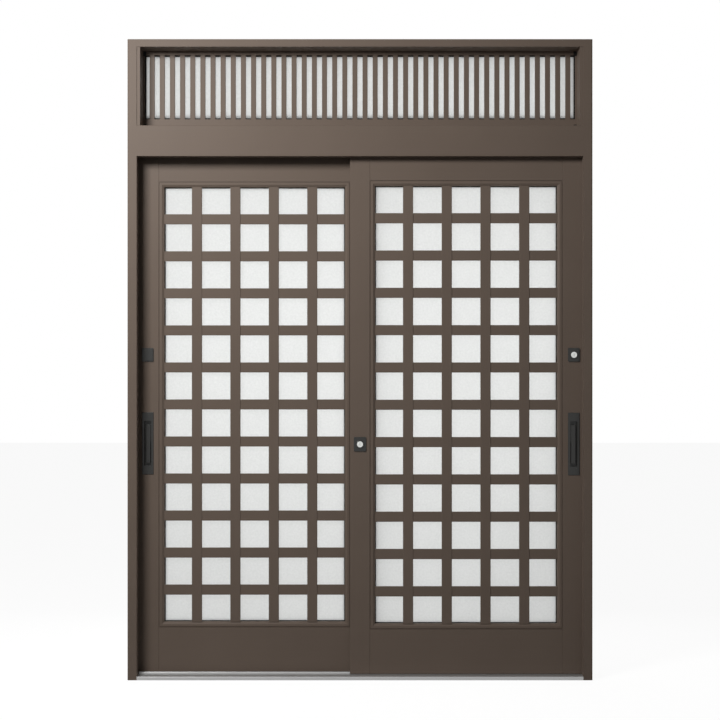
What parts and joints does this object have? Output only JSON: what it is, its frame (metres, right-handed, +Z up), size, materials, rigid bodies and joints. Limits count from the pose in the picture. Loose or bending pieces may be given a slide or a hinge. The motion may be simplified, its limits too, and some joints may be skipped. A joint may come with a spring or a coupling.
{
  "type": "sliding entrance door",
  "caption": "Bronze aluminium sliding entrance door: two latticed frosted-glass panels on parallel tracks in a full frame, with a barred transom light, black pulls and key locks.",
  "frame": {"origin": "middle of the sill's underside, at half the frame's depth", "axes": "+X along the door to the right seen from outdoors, +Y from outdoors to indoors, +Z up"},
  "size_m": [1.69, 0.14, 2.33],
  "materials": {
    "bronze_aluminium": "satin anodised, mid bronze",
    "silver_aluminium": "satin natural aluminium",
    "steel": "brushed",
    "black_rubber": "matt",
    "frosted_glass": "frosted, lightly mottled",
    "black_metal": "fine satin black paint",
    "satin_nickel": "satin nickel",
    "nylon": "moulded nylon"
  },
  "bodies": {
    "frame": {"head": "bronze_aluminium", "jamb_left": "bronze_aluminium", "jamb_right": "bronze_aluminium", "pocket_buffers": "black_rubber", "sill": "silver_aluminium", "sill_end_seals": "black_rubber", "sill_rails": "steel", "slide_stops": "black_rubber", "strike_plates": "steel", "transom_bar": "bronze_aluminium", "transom_bars": "bronze_aluminium", "transom_covers": "bronze_aluminium", "transom_glass": "frosted_glass", "transom_sash": "bronze_aluminium", "transom_seals": "black_rubber"},
    "outer_panel": {"outer_beads": "bronze_aluminium", "outer_bottom_rail": "bronze_aluminium", "outer_crossbars": "bronze_aluminium", "outer_cylinders": "satin_nickel", "outer_edge_case": "steel", "outer_gaskets": "black_rubber", "outer_glass": "frosted_glass", "outer_guide_blocks": "nylon", "outer_lock_plates": "black_metal", "outer_lock_stile": "bronze_aluminium", "outer_meeting_stile": "bronze_aluminium", "outer_pull_grips": "black_metal", "outer_pulls": "black_metal", "outer_roller_housings": "steel", "outer_top_rail": "bronze_aluminium", "outer_uprights": "bronze_aluminium"},
    "inner_panel": {"inner_beads": "bronze_aluminium", "inner_bottom_rail": "bronze_aluminium", "inner_crossbars": "bronze_aluminium", "inner_gaskets": "black_rubber", "inner_glass": "frosted_glass", "inner_guide_blocks": "nylon", "inner_lock_cases": "steel", "inner_lock_plates": "black_metal", "inner_lock_stile": "bronze_aluminium", "inner_meeting_stile": "bronze_aluminium", "inner_pull_grips": "black_metal", "inner_pulls": "black_metal", "inner_roller_housings": "steel", "inner_top_rail": "bronze_aluminium", "inner_uprights": "bronze_aluminium"},
    "inner_edge_hook": {"inner_edge_hook": "steel"},
    "inner_edge_turn": {"inner_edge_turn": "satin_nickel"},
    "meeting_bolt": {"inner_meeting_bolt": "steel"},
    "meeting_turn": {"inner_meeting_turn": "black_metal"},
    "inner_roller_1": {"inner_roller_1": "nylon"},
    "inner_roller_2": {"inner_roller_2": "nylon"},
    "outer_edge_hook": {"outer_edge_hook": "steel"},
    "outer_edge_turn": {"outer_edge_turn": "satin_nickel"},
    "meeting_key_plug": {"outer_meeting_plug": "satin_nickel"},
    "outer_roller_1": {"outer_roller_1": "nylon"},
    "outer_roller_2": {"outer_roller_2": "nylon"}
  },
  "joints": [
    {"name": "outer_slide", "type": "slide", "parent": "frame", "child": "outer_panel", "axis": [-1, 0, 0], "range_m": [0, 0.7]},
    {"name": "inner_slide", "type": "slide", "parent": "frame", "child": "inner_panel", "axis": [1, 0, 0], "range_m": [0, 0.7]},
    {"name": "outer_roller_1_spin", "type": "hinge", "parent": "outer_panel", "child": "outer_roller_1", "pos_m": [0.1266, -0.013, 0.0313], "axis": [0, 1, 0], "continuous": true},
    {"name": "outer_roller_2_spin", "type": "hinge", "parent": "outer_panel", "child": "outer_roller_2", "pos_m": [0.652, -0.013, 0.0313], "axis": [0, 1, 0], "continuous": true},
    {"name": "outer_edge_turn", "type": "hinge", "parent": "outer_panel", "child": "outer_edge_turn", "pos_m": [0.783, -0.013, 1.183], "axis": [0, 1, 0], "range_deg": [0, 90]},
    {"name": "outer_edge_hook", "type": "hinge", "parent": "outer_panel", "child": "outer_edge_hook", "pos_m": [0.803, -0.013, 1.165], "axis": [0, 1, 0], "range_deg": [0, 90]},
    {"name": "inner_roller_1_spin", "type": "hinge", "parent": "inner_panel", "child": "inner_roller_1", "pos_m": [-0.1266, 0.027, 0.0313], "axis": [0, 1, 0], "continuous": true},
    {"name": "inner_roller_2_spin", "type": "hinge", "parent": "inner_panel", "child": "inner_roller_2", "pos_m": [-0.652, 0.027, 0.0313], "axis": [0, 1, 0], "continuous": true},
    {"name": "inner_edge_turn", "type": "hinge", "parent": "inner_panel", "child": "inner_edge_turn", "pos_m": [-0.783, 0.027, 1.183], "axis": [0, -1, 0], "range_deg": [0, 90]},
    {"name": "inner_edge_hook", "type": "hinge", "parent": "inner_panel", "child": "inner_edge_hook", "pos_m": [-0.803, 0.027, 1.165], "axis": [0, -1, 0], "range_deg": [0, 90]},
    {"name": "meeting_key", "type": "hinge", "parent": "outer_panel", "child": "meeting_key_plug", "pos_m": [0, -0.029, 0.8555], "axis": [0, 1, 0], "range_deg": [0, 90]},
    {"name": "meeting_turn", "type": "hinge", "parent": "inner_panel", "child": "meeting_turn", "pos_m": [0, 0.043, 0.8555], "axis": [0, 1, 0], "range_deg": [0, 90]},
    {"name": "meeting_bolt", "type": "slide", "parent": "inner_panel", "child": "meeting_bolt", "axis": [0, -1, 0], "range_m": [0, 0.013]}
  ],
  "couplings": [
    {"joint": "outer_roller_1_spin", "follows": "outer_slide", "rad_per_m": -83.333},
    {"joint": "outer_roller_2_spin", "follows": "outer_slide", "rad_per_m": -83.333},
    {"joint": "outer_edge_hook", "follows": "outer_edge_turn", "ratio": 1},
    {"joint": "inner_roller_1_spin", "follows": "inner_slide", "rad_per_m": 83.333},
    {"joint": "inner_roller_2_spin", "follows": "inner_slide", "rad_per_m": 83.333},
    {"joint": "inner_edge_hook", "follows": "inner_edge_turn", "ratio": 1},
    {"joint": "meeting_bolt", "follows": "meeting_turn", "m_per_rad": 0.008276}
  ]
}
